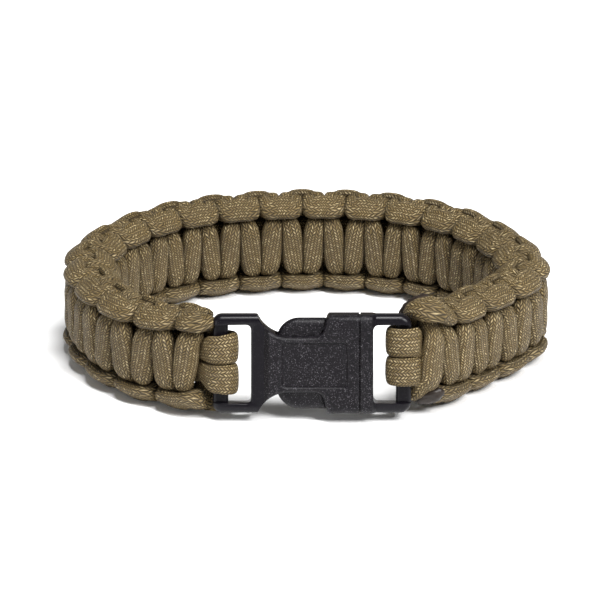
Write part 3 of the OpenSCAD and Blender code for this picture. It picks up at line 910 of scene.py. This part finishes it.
@dataclass
class MeltedTips:
    """The two ends of the working strands, melted against the weave by the plug."""

    upper: Bead = Bead((22.3, -28.5, 21.4), (3.7, 1.9, 1.6), 36.0)
    lower: Bead = Bead((25.4, -35.0, 4.0), (3.3, 1.5, 1.7), 15.0)
    segments: int = 40
    rings: int = 24
    lump_mm: float = 1.2
    lump_high_mm: float = 0.6

    def build(self, side: Side, finish: MeltedNylon) -> bpy.types.Object:
        """Makes one melted end, a lumpy bead over the cut strand.

        Args:
            side: the working strand that it ends.
            finish: its finish.

        Returns:
            The tip.
        """
        node = "melted_tip_upper" if side is Side.OUTER else "melted_tip_lower"
        bead = self.upper if side is Side.OUTER else self.lower
        middle = tuple(c * MM for c in bead.middle)
        deselect_all()
        bpy.ops.mesh.primitive_uv_sphere_add(segments=self.segments, ring_count=self.rings, location=middle)
        tip = bpy.context.active_object
        tip.name = node + "_bead"
        edit(tip, "SELECT")
        bpy.ops.transform.resize(value=tuple(h * MM for h in bead.half), center_override=middle)
        bpy.ops.transform.rotate(value=math.radians(bead.tilt), orient_axis="Y", center_override=middle)
        bpy.ops.object.mode_set(mode="OBJECT")
        settle(tip)
        lump = tip.modifiers.new("lumps", "DISPLACE")
        lump.texture = bpy.data.textures.new("melt", "CLOUDS")
        lump.texture.noise_scale = self.lump_mm * MM
        lump.strength = self.lump_high_mm * MM
        lump.mid_level = 0.5
        lump.texture_coords = "LOCAL"
        apply_modifier(tip, lump)
        bpy.ops.object.shade_smooth()
        dress(tip, finish.material(), "melted_tip", node)
        return tip


def deselect_all() -> None:
    """Leaves nothing selected."""
    if bpy.context.mode != "OBJECT":
        bpy.ops.object.mode_set(mode="OBJECT")
    bpy.ops.object.select_all(action="DESELECT")


def activate(obj: bpy.types.Object) -> None:
    """Selects one object alone and makes it the active one.

    Args:
        obj: the object.
    """
    deselect_all()
    obj.select_set(True)
    bpy.context.view_layer.objects.active = obj


def edit(obj: bpy.types.Object, action: str) -> None:
    """Enters edit mode on one object.

    Args:
        obj: the object.
        action: SELECT to have all of it selected, or DESELECT to have none.
    """
    activate(obj)
    bpy.ops.object.mode_set(mode="EDIT")
    bpy.ops.mesh.select_all(action=action)


def settle(obj: bpy.types.Object) -> None:
    """Moves an object's place, turn and scale into its mesh."""
    activate(obj)
    bpy.ops.object.transform_apply(location=True, rotation=True, scale=True)


def apply_modifier(obj: bpy.types.Object, modifier: bpy.types.Modifier) -> None:
    """Applies one modifier."""
    activate(obj)
    bpy.ops.object.modifier_apply(modifier=modifier.name)


def combine(obj: bpy.types.Object, other: bpy.types.Object, joining: Joining) -> None:
    """Lets a second solid change a solid, and uses it up.

    Args:
        obj: the solid that stays.
        other: the second solid.
        joining: whether it is added, cut away or trimmed to.
    """
    modifier = obj.modifiers.new("solid", "BOOLEAN")
    modifier.solver = "EXACT"
    modifier.operation = joining.value
    modifier.object = other
    apply_modifier(obj, modifier)
    bpy.data.objects.remove(other)
    tidy_mesh(obj)


def join(obj: bpy.types.Object, other: bpy.types.Object) -> None:
    """Adds another piece's mesh to an object, with no cut between them.

    Args:
        obj: the object that stays.
        other: the piece, which is used up.
    """
    activate(obj)
    other.select_set(True)
    bpy.ops.object.join()


def tidy_mesh(obj: bpy.types.Object, merge_mm: float = 0.004, flat_degrees: float = 0.5) -> None:
    """Merges doubled corners and drops needless ones on flat faces.

    Args:
        obj: the object.
        merge_mm: how near two corners are merged.
        flat_degrees: how far two faces may turn and still count as one flat face.
    """
    edit(obj, "SELECT")
    bpy.ops.mesh.remove_doubles(threshold=merge_mm)
    bpy.ops.mesh.dissolve_limited(angle_limit=math.radians(flat_degrees))
    bpy.ops.object.mode_set(mode="OBJECT")


def block(name: str, low: Iterable[float], high: Iterable[float]) -> bpy.types.Object:
    """Adds a block between two corners.

    Args:
        name: the object's name.
        low: its lowest corner, in millimetres.
        high: its highest corner.

    Returns:
        The block, at its size and place.
    """
    low, high = Vector(low), Vector(high)
    deselect_all()
    bpy.ops.mesh.primitive_cube_add(size=1, location=(low + high) / 2, scale=high - low)
    made = bpy.context.active_object
    made.name = name
    settle(made)
    return made


def slab(name: str, left: float, right: float, half_t: float, half_h: float) -> bpy.types.Object:
    """Adds a block that lies evenly about the buckle's middle plane and middle line.

    Args:
        name: the object's name.
        left: its left end, in millimetres.
        right: its right end.
        half_t: half its thickness.
        half_h: half its height.

    Returns:
        The block.
    """
    return block(name, (left, -half_t, -half_h), (right, half_t, half_h))


def round_edges(
    obj: bpy.types.Object, wanted: Callable[[bmesh.types.BMEdge], bool], width: float, segments: int
) -> None:
    """Bevels some edges in edit mode.

    Args:
        obj: the object.
        wanted: says of an edge whether it is rounded.
        width: the rounding's size, in millimetres.
        segments: facets across the rounding.
    """
    edit(obj, "DESELECT")
    bpy.ops.mesh.select_mode(type="EDGE")
    mesh = bmesh.from_edit_mesh(obj.data)
    chosen = [edge for edge in mesh.edges if wanted(edge)]
    for edge in chosen:
        edge.select_set(True)
    bmesh.update_edit_mesh(obj.data)
    if chosen:
        bpy.ops.mesh.bevel(offset=width, segments=segments, affect="EDGES", clamp_overlap=False)
    bpy.ops.object.mode_set(mode="OBJECT")


def pick_corners(obj: bpy.types.Object, wanted: Callable[[Vector], bool]) -> None:
    """Enters edit mode with only the wanted corners selected.

    Args:
        obj: the object.
        wanted: says of a corner's place whether it is selected.
    """
    edit(obj, "DESELECT")
    bpy.ops.mesh.select_mode(type="VERT")
    mesh = bmesh.from_edit_mesh(obj.data)
    for corner in mesh.verts:
        corner.select_set(wanted(corner.co))
    mesh.select_flush_mode()
    bmesh.update_edit_mesh(obj.data)


def shift(obj: bpy.types.Object, wanted: Callable[[Vector], bool], move: float) -> None:
    """Moves some corners along the buckle.

    Args:
        obj: the object.
        wanted: says of a corner's place whether it moves.
        move: how far, in millimetres.
    """
    pick_corners(obj, wanted)
    bpy.ops.transform.translate(value=(move, 0, 0))
    bpy.ops.object.mode_set(mode="OBJECT")


def raise_top(obj: bpy.types.Object, level: float, rise: float) -> None:
    """Extrudes the top face further up.

    Args:
        obj: the object.
        level: a height between the top face and the rest, in millimetres.
        rise: how far it goes up.
    """
    pick_corners(obj, lambda p: p.z > level)
    bpy.ops.mesh.extrude_region_move(TRANSFORM_OT_translate={"value": (0, 0, rise)})
    bpy.ops.object.mode_set(mode="OBJECT")


def mirror_down(obj: bpy.types.Object) -> None:
    """Mirrors a solid from the buckle's upper half to its lower half.

    Args:
        obj: the solid.
    """
    edit(obj, "SELECT")
    bpy.ops.transform.mirror(constraint_axis=(False, False, True), center_override=(0, 0, 0))
    bpy.ops.mesh.normals_make_consistent(inside=False)
    bpy.ops.object.mode_set(mode="OBJECT")


def slice_across(obj: bpy.types.Object, x: float) -> None:
    """Cuts a ring of edges through an object.

    Args:
        obj: the object.
        x: the ring's place along the buckle, in millimetres.
    """
    edit(obj, "SELECT")
    bpy.ops.mesh.bisect(plane_co=(x, 0, 0), plane_no=(1, 0, 0))
    bpy.ops.object.mode_set(mode="OBJECT")


def extent(edge: bmesh.types.BMEdge, axis: int) -> float:
    """Says how far an edge reaches along x (0), y (1) or z (2)."""
    return abs(edge.verts[0].co[axis] - edge.verts[1].co[axis])


def through(edge: bmesh.types.BMEdge, least: float = 1.5) -> bool:
    """Says whether an edge runs through the buckle from front to back."""
    return extent(edge, 1) > least and extent(edge, 0) < TIGHT and extent(edge, 2) < TIGHT


def sharp(edge: bmesh.types.BMEdge, degrees: float = 38.0) -> bool:
    """Says whether an edge is a sharp outer or inner corner."""
    return len(edge.link_faces) == 2 and edge.calc_face_angle(0.0) > math.radians(degrees)


def middle_of(edge: bmesh.types.BMEdge) -> Vector:
    """Gives an edge's middle."""
    return (edge.verts[0].co + edge.verts[1].co) / 2


@dataclass
class Buckle:
    """The side-release buckle, in its own frame in millimetres: x along, y through, z up."""

    loop: Loop
    length: float = 41.0
    height: float = 20.6
    body_t: float = 6.0
    frame_t: float = 4.0
    slot_h: float = 16.4
    slot_len: float = 4.7
    slot_r: float = 1.0
    bar_w: float = 3.2
    bar_t: float = 2.4
    bar_r: float = 0.85
    bar_back: float = 0.4
    # How far a bar's ends are sunk in its frame
    bar_sunk: float = 0.1
    flange_len: float = 2.6
    collar_len: float = 6.6
    waist_len: float = 6.8
    waist_h: float = 11.6
    # Where the round shoulders start, counted from the socket's slot
    shoulder_in: float = 1.3
    shoulder_r: float = 1.4
    drum_corners: int = 160
    cross_len: float = 5.0
    # Share of the cross bar that is as thin as the cord frame
    cross_thin: float = 0.54
    ramp: float = 1.0
    # The plug's ramp, from so far inside its slot to so far before it
    plug_thin: float = 0.6
    plug_thick: float = 0.2
    panel_len: float = 13.3
    panel_h: float = 9.2
    panel_deep: float = 0.45
    panel_margin: float = 2.5
    panel_r: float = 0.7
    plate_t: float = 1.3
    side_t: float = 1.3
    fit_gap: float = 0.25
    seam: float = 0.3
    seam_deep: float = 0.7
    seam_nick: float = 0.25
    # The side windows' edge by the collar slants, and flares over the last stretch to the top
    slant: float = 1.1
    flare: float = 0.5
    flare_h: float = 0.6
    window_r: float = 1.4
    wing_h: float = 19.0
    wing_deep: float = 4.8
    # Stretch at a wing's right end that stays square and that its arm starts in
    wing_end: float = 0.6
    arm_t: float = 1.7
    arm_in: float = 0.35
    # The strip in the gap between a wing and the collar: how far it lies inside its arm's faces,
    # runs into the wing and the arm, stays off the collar, lies below the wing's top, and slants
    strip_in: float = 0.2
    strip_run: float = 0.8
    strip_gap: float = 0.03
    strip_low: float = 0.15
    strip_slant: float = 0.35
    tongue_h: float = 4.6
    tongue_in: float = 2.0
    neck_len: float = 2.0
    neck_in: float = 0.1
    edge_r: float = 1.25
    waist_r: float = 0.75
    lip_r: float = 0.42
    socket_corner_r: float = 1.9
    plug_corner_r: float = 2.4
    # The slots' rims are rounded from so far past the slot's inner end
    rim_r: float = 0.5
    socket_rim_from: float = -1.1
    plug_rim_from: float = 0.95
    # How far a cutter stands out in front and behind, and how far a solid runs past its neighbour's face
    cutter_deep: float = 4.0
    over: float = 1.0
    # Offset that keeps two crossing solids from sharing a plane
    skin: float = 0.002

    def __post_init__(self) -> None:
        """Works out the places along the buckle."""
        self.end_x = self.length / 2
        self.slot_x = self.end_x - self.bar_w - self.slot_len
        self.flange_x = self.slot_x - self.flange_len
        self.collar_x = self.flange_x - self.seam
        self.collar_left = self.collar_x - self.collar_len
        self.waist_left = self.collar_left - self.slant - self.waist_len
        self.frame_x = -self.slot_x + self.cross_len * self.cross_thin
        self.shoulder_x = -self.slot_x + self.shoulder_in
        self.cavity_t = self.body_t - 2 * self.plate_t
        self.cavity_h = self.height - 2 * self.side_t
        self.cavity_left = -self.slot_x + self.cross_len
        self.prong_t = self.cavity_t - 2 * self.fit_gap
        self.panel_right = self.collar_x - self.panel_margin
        self.top = self.height / 2

    def seat(self, obj: bpy.types.Object) -> None:
        """Puts a piece from the buckle's own frame to its leaning place on the loop, in metres.

        Args:
            obj: the piece.
        """
        lift = float(self.loop.lift(np.radians(self.loop.lean)))
        place = Matrix.Translation(
            (self.loop.buckle_x - MIDDLE[0], self.bar_back - MIDDLE[1], MIDDLE[2] + lift)
        )
        turn = Matrix.Rotation(math.radians(-self.loop.lean), 4, "X")
        back = Matrix.Translation((0, -self.bar_back, 0))
        obj.data.transform(Matrix.Scale(MM, 4) @ place @ turn @ back)
        obj.data.update()

    def bar(self, end: End) -> bpy.types.Object:
        """Makes the rounded bar that the core cords go round.

        Args:
            end: the buckle's end that it is at.

        Returns:
            The bar.
        """
        centre = Vector((end.value * (self.end_x - self.bar_w / 2), self.bar_back, 0))
        half = Vector((self.bar_w / 2, self.bar_t / 2, self.slot_h / 2 + self.bar_sunk))
        made = block("bar", centre - half, centre + half)
        round_edges(made, lambda e: extent(e, 2) > self.bar_w, self.bar_r, 5)
        return made

    def window_cutter(self, half: Half) -> bpy.types.Object:
        """Makes the block that opens a side window between the waist and the collar.

        Args:
            half: the half of the buckle that the window is in.

        Returns:
            The cutter, with the collar's slanted edge and the rounded inner corner.
        """
        deep, low, high = self.cutter_deep, self.waist_h / 2, self.top - self.flare_h
        made = block("window", (self.waist_left, -deep, low), (self.collar_left, deep, high))
        shift(made, lambda p: p.x > self.collar_left - NEAR and p.z < low + NEAR, -self.slant)
        raise_top(made, high - NEAR, self.flare_h)
        shift(made, lambda p: p.x > 0 and p.z > high + NEAR, self.flare)
        raise_top(made, high + NEAR, self.over)

        def inner_corner(edge: bmesh.types.BMEdge) -> bool:
            """Says whether an edge is the corner between the waist and the collar."""
            return through(edge) and middle_of(edge).x > 0 and middle_of(edge).z < low + NEAR

        round_edges(made, inner_corner, self.window_r, 8)
        if half is Half.LOWER:
            mirror_down(made)
        return made

    def shoulder_cutter(self, half: Half) -> bpy.types.Object:
        """Makes the drum that cuts one round shoulder of the socket.

        Args:
            half: the half of the buckle that the shoulder is in.

        Returns:
            The cutter.
        """
        rise = (self.height - self.waist_h) / 2
        run = self.waist_left - self.shoulder_x
        radius = (run * run + rise * rise) / (2 * rise)
        deselect_all()
        bpy.ops.mesh.primitive_cylinder_add(
            vertices=self.drum_corners,
            radius=radius,
            depth=self.body_t + 2 * self.over,
            location=(self.waist_left, 0, half.value * (self.waist_h / 2 + radius)),
            rotation=(math.pi / 2, 0, 0),
        )
        made = bpy.context.active_object
        settle(made)
        return made

    def outline_edge(self, edge: bmesh.types.BMEdge) -> bool:
        """Says whether an edge runs round the front or back outline, between a wall and a face.

        Args:
            edge: the edge.

        Returns:
            True where one of its faces hardly looks to the front or back and the other mostly does.
        """
        if not sharp(edge):
            return False
        least, most = sorted(abs(face.normal.y) for face in edge.link_faces)
        return least < 0.2 and most > 0.5

    def rail(
        self, left: float, right: float, thin_to: float, thick_from: float, corner_r: float
    ) -> bpy.types.Object:
        """Makes a block with wide rounded outer edges and a thinner, round-cornered frame at one end.

        Args:
            left: its left end.
            right: its right end.
            thin_to: where the thin part ends.
            thick_from: where the full thickness starts, past the ramp.
            corner_r: radius of the frame's corners.

        Returns:
            The block.
        """
        made = slab("rail", left, right, self.body_t / 2 + self.skin, self.top)
        for x in (thin_to, thick_from):
            slice_across(made, x)
        toward = 1 if thick_from > thin_to else -1
        end, other = (left, right) if toward > 0 else (right, left)
        pick_corners(made, lambda p: (p.x - thin_to) * toward < TIGHT)
        bpy.ops.transform.resize(value=(1, self.frame_t / self.body_t, 1), center_override=(0, 0, 0))
        bpy.ops.object.mode_set(mode="OBJECT")
        round_edges(made, lambda e: through(e) and abs(middle_of(e).x - end) < NEAR, corner_r, 8)

        def outer(edge: bmesh.types.BMEdge) -> bool:
            """Says whether an edge is on the outline, but not at the end that is built over."""
            return self.outline_edge(edge) and abs(middle_of(edge).x - other) > TIGHT

        round_edges(made, outer, self.edge_r, 6)
        return made

    def slot_cutter(self, end: End) -> bpy.types.Object:
        """Makes the block that opens a cord slot and the space round its bar.

        Args:
            end: the buckle's end that the slot is at.

        Returns:
            The cutter.
        """
        inner, outer = end.value * self.slot_x, end.value * (self.end_x + self.over)
        made = slab("slot", min(inner, outer), max(inner, outer), self.cutter_deep, self.slot_h / 2)
        round_edges(made, lambda e: through(e) and abs(middle_of(e).x - inner) < NEAR, self.slot_r, 5)
        return made

    def open_slot(self, obj: bpy.types.Object, end: End, rim_from: float) -> None:
        """Cuts a cord slot, rounds its rim and sets its bar in.

        Args:
            obj: the solid.
            end: the buckle's end that the slot is at.
            rim_from: how far past the slot's inner end the rounding starts.
        """
        combine(obj, self.slot_cutter(end), Joining.CUT)
        rim_to = self.slot_len + self.bar_w - self.edge_r

        def on_rim(edge: bmesh.types.BMEdge) -> bool:
            """Says whether an edge is on the slot's rim."""
            along = middle_of(edge).x * end.value - self.slot_x
            past = abs(middle_of(edge).z) - self.slot_h / 2
            if not sharp(edge) or through(edge) or not rim_from < along < rim_to:
                return False
            return past < TIGHT and (past > -TIGHT or along < self.slot_r + TIGHT)

        round_edges(obj, on_rim, self.rim_r, 4)
        join(obj, self.bar(end))

    def over_panel(self, place: Vector) -> bool:
        """Says whether a place is over the recessed panel or its rim, seen from the front."""
        beside = abs(place.x - self.panel_right + self.panel_len / 2) < self.panel_len / 2 + TIGHT
        return beside and abs(place.z) < self.panel_h / 2 + TIGHT

    def on_panel_rim(self, edge: bmesh.types.BMEdge) -> bool:
        """Says whether an edge is where the body's front face drops to the panel."""
        place = middle_of(edge)
        return sharp(edge) and self.over_panel(place) and place.y < HAIR - self.body_t / 2

    def on_panel_wall(self, face: bpy.types.MeshPolygon) -> bool:
        """Says whether a face lies on the wall round the recessed panel, which is polished."""
        floor, flat = -self.body_t / 2 + self.panel_deep, -0.97
        return self.over_panel(face.center) and face.center.y < floor + HAIR and face.normal.y > flat

    def socket(self) -> bpy.types.Object:
        """Makes the socket: cord frame, ramp, waist, collar, side windows, panel and hollow."""
        half_t, end = self.body_t / 2, self.collar_x + self.over
        made = slab("socket_shell", -self.end_x - self.skin, self.collar_x, half_t, self.top + self.skin)
        for half in Half:
            combine(made, self.window_cutter(half), Joining.CUT)
            combine(made, self.shoulder_cutter(half), Joining.CUT)

        def shoulder_start(edge: bmesh.types.BMEdge) -> bool:
            """Says whether an edge is the blunt corner where a round shoulder starts."""
            away = abs(middle_of(edge).x - self.shoulder_x)
            return through(edge) and sharp(edge, 20.0) and away < self.shoulder_in / 2

        def outline(edge: bmesh.types.BMEdge) -> bool:
            """Says whether an edge is on the outline, but not at the seam."""
            return self.outline_edge(edge) and middle_of(edge).x < self.collar_x - TIGHT

        round_edges(made, shoulder_start, self.shoulder_r, 5)
        round_edges(made, outline, self.waist_r, 5)
        rail = self.rail(-self.end_x, end, self.frame_x, self.frame_x + self.ramp, self.socket_corner_r)
        combine(made, rail, Joining.TRIM)
        cavity = slab("cavity", self.cavity_left, end, self.cavity_t / 2, self.cavity_h / 2)
        combine(made, cavity, Joining.CUT)
        panel = block(
            "panel",
            (self.panel_right - self.panel_len, -half_t - self.over, -self.panel_h / 2),
            (self.panel_right, -half_t + self.panel_deep, self.panel_h / 2),
        )
        round_edges(panel, lambda e: extent(e, 1) > self.over, self.panel_r, 4)
        combine(made, panel, Joining.CUT)
        round_edges(made, self.on_panel_rim, self.lip_r, 3)
        self.open_slot(made, End.SOCKET, self.socket_rim_from)
        return made

    def wing(self, half: Half) -> bpy.types.Object:
        """Makes a prong's wing and arm.

        Args:
            half: the half of the buckle that it is in.

        Returns:
            The prong, up to the flange.
        """
        left, right = self.cavity_left + self.fit_gap, self.collar_left - 2 * self.fit_gap
        half_t, top = self.prong_t / 2, self.wing_h / 2
        low = top - self.wing_deep
        made = block("wing", (left, -half_t, low), (right, half_t, top))
        shift(made, lambda p: p.x > right - NEAR and p.z < top - NEAR, -self.slant)

        def outer_corner(edge: bmesh.types.BMEdge) -> bool:
            """Says whether an edge is the wing's upper left corner."""
            return through(edge) and middle_of(edge).x < left + NEAR and middle_of(edge).z > top - NEAR

        def rim(edge: bmesh.types.BMEdge) -> bool:
            """Says whether an edge runs round the wing's front or back."""
            place = middle_of(edge)
            on_top = place.z > low + 2 * NEAR and place.x < right - self.wing_end
            return sharp(edge) and not through(edge) and on_top

        round_edges(made, outer_corner, self.wing_deep - NEAR, 12)
        round_edges(made, rim, self.edge_r, 6)
        arm_top = self.cavity_h / 2 - self.fit_gap
        arm_half = half_t - self.arm_in
        arm = block(
            "arm",
            (right - self.wing_end, -arm_half, arm_top - self.arm_t),
            (self.flange_x + self.over, arm_half, arm_top),
        )
        combine(made, arm, Joining.ADD)
        strip_half = arm_half - self.strip_in
        strip = block(
            "strip",
            (right - self.strip_run, -strip_half, arm_top - self.strip_run),
            (self.collar_left - self.strip_gap, strip_half, top - self.strip_low),
        )
        shift(strip, lambda p: p.x > right and p.z < arm_top, -self.strip_slant)
        combine(made, strip, Joining.ADD)
        if half is Half.LOWER:
            mirror_down(made)
        return made

    def plug(self) -> bpy.types.Object:
        """Makes the plug: flange, cord frame and bar, tongue and two winged prongs."""
        thin_to, thick_from = self.slot_x + self.plug_thin, self.slot_x - self.plug_thick
        made = self.rail(self.flange_x, self.end_x, thin_to, thick_from, self.plug_corner_r)
        for half in Half:
            combine(made, self.wing(half), Joining.ADD)
        end, half_t, half_h = self.flange_x + self.over, self.prong_t / 2, self.cavity_h / 2
        tongue = slab("tongue", self.waist_left + self.tongue_in, end, half_t, self.tongue_h / 2)
        combine(made, tongue, Joining.ADD)
        neck_x = self.flange_x - self.neck_len
        neck = slab("neck", neck_x, end, half_t - self.neck_in, half_h - 2 * self.fit_gap)
        combine(made, neck, Joining.ADD)
        half_t, half_h = self.body_t / 2 - self.seam_deep, self.top - self.seam_nick
        step = slab("step", self.collar_x + HAIR, end, half_t, half_h)
        round_edges(step, lambda e: extent(e, 0) > self.over / 2, self.edge_r - self.seam_nick, 5)
        combine(made, step, Joining.ADD)
        self.open_slot(made, End.PLUG, self.plug_rim_from)
        return made

    def build(self, grained: MouldedAcetal, smooth: MouldedAcetal) -> list[bpy.types.Object]:
        """Makes and dresses both halves.

        Args:
            grained: the body's finish.
            smooth: the finish of the cord frames and the panel's wall.

        Returns:
            The socket and the plug.
        """
        made = []
        for end, obj in ((End.SOCKET, self.socket()), (End.PLUG, self.plug())):
            obj.name = end.name.lower() + "_shell"
            limit = -self.frame_x if end is End.SOCKET else self.slot_x
            faces = obj.data.polygons
            satin = [end.value * face.center.x > limit or self.on_panel_wall(face) for face in faces]
            activate(obj)
            bpy.ops.object.shade_smooth_by_angle(angle=math.radians(35))
            self.seat(obj)
            dress(obj, grained.material(), "buckle", "buckle_" + end.name.lower())
            obj.data.materials.append(smooth.material())
            for face, is_satin in zip(obj.data.polygons, satin):
                face.material_index = int(is_satin)
            made.append(obj)
        return made


@dataclass
class Studio:
    """White paper, soft lights and the camera."""

    target: tuple[float, float, float] = (-0.0013, -0.0313, 0.0238)
    elevation: float = 22.0
    distance: float = 1.30
    lens: float = 378.0
    sensor: float = 36.0
    # Where the lights aim
    aim: tuple[float, float, float] = (0.0, 0.0, 0.01)
    floor_size: float = 8.0
    # Just under the object, so that what rests on it doesn't flicker
    floor_z: float = -0.0002
    surround: float = 0.2

    def camera(self) -> None:
        """Makes the camera at the photograph's angle."""
        data = bpy.data.cameras.new("camera")
        camera = bpy.data.objects.new("camera", data)
        bpy.context.scene.collection.objects.link(camera)
        tilt = math.radians(self.elevation)
        back = Vector((0, -math.cos(tilt), math.sin(tilt)))
        camera.location = Vector(self.target) + back * self.distance
        camera.rotation_euler = (math.pi / 2 - tilt, 0, 0)
        data.lens = self.lens
        data.sensor_width = self.sensor
        data.clip_start, data.clip_end = 0.1, 20
        bpy.context.scene.camera = camera

    def light(self, name: str, place: tuple[float, float, float], size: float, power: float) -> None:
        """Adds a soft square light aimed at the bracelet.

        Args:
            name: the light's name.
            place: where it stands, in metres.
            size: its side.
            power: its power in watts.
        """
        data = bpy.data.lights.new(name, "AREA")
        data.size = size
        data.energy = power
        lamp = bpy.data.objects.new(name, data)
        bpy.context.scene.collection.objects.link(lamp)
        lamp.location = place
        aim = Vector(self.aim) - Vector(place)
        lamp.rotation_euler = aim.to_track_quat("-Z", "Y").to_euler()

    def build(self, paper: StudioPaper) -> None:
        """Sets up the floor, lights, surroundings and camera.

        Args:
            paper: the floor's finish.
        """
        deselect_all()
        bpy.ops.mesh.primitive_plane_add(size=self.floor_size, location=(0, 1, self.floor_z))
        floor = bpy.context.active_object
        floor.name = "paper"
        settle(floor)
        floor.data.materials.append(paper.material())
        self.light("key", (0.7, -0.72, 0.97), 0.5, 24.8)
        self.light("fill", (-1.2, -0.8, 0.3), 0.6, 5.0)
        self.light("top", (0.1, -0.35, 1.2), 0.4, 19.0)
        world = bpy.data.worlds.new("surroundings")
        bpy.context.scene.world = world
        world.use_nodes = True
        background = world.node_tree.nodes["Background"]
        background.inputs[0].default_value = linear("#ffffff")
        background.inputs[1].default_value = self.surround
        bpy.context.scene.view_settings.view_transform = "Standard"
        self.camera()


def main() -> None:
    """Builds the bracelet piece by piece over its frame."""
    logging.basicConfig(level=logging.INFO, format="%(message)s", force=True)
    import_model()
    loop = Loop()
    Studio().build(StudioPaper())
    sheath = BraidedNylon()
    weave = CobraWeave(loop)
    pieces: list[bpy.types.Object] = []
    for side in Side:
        pieces.append(weave.build(side, sheath))
    cores = CoreCords(loop, weave)
    for core in Core:
        pieces.append(cores.build(core, sheath))
    tips = MeltedTips()
    for side in Side:
        pieces.append(tips.build(side, MeltedNylon()))
    smooth = MouldedAcetal(name="smooth_acetal", black="#0a080d", roughness=0.3, grain_and_glint=0.15)
    pieces += Buckle(loop).build(MouldedAcetal(), smooth)
    for piece in pieces:
        LOG.info("%s: %d faces", piece.name, len(piece.data.polygons))


if __name__ == "__main__":
    main()
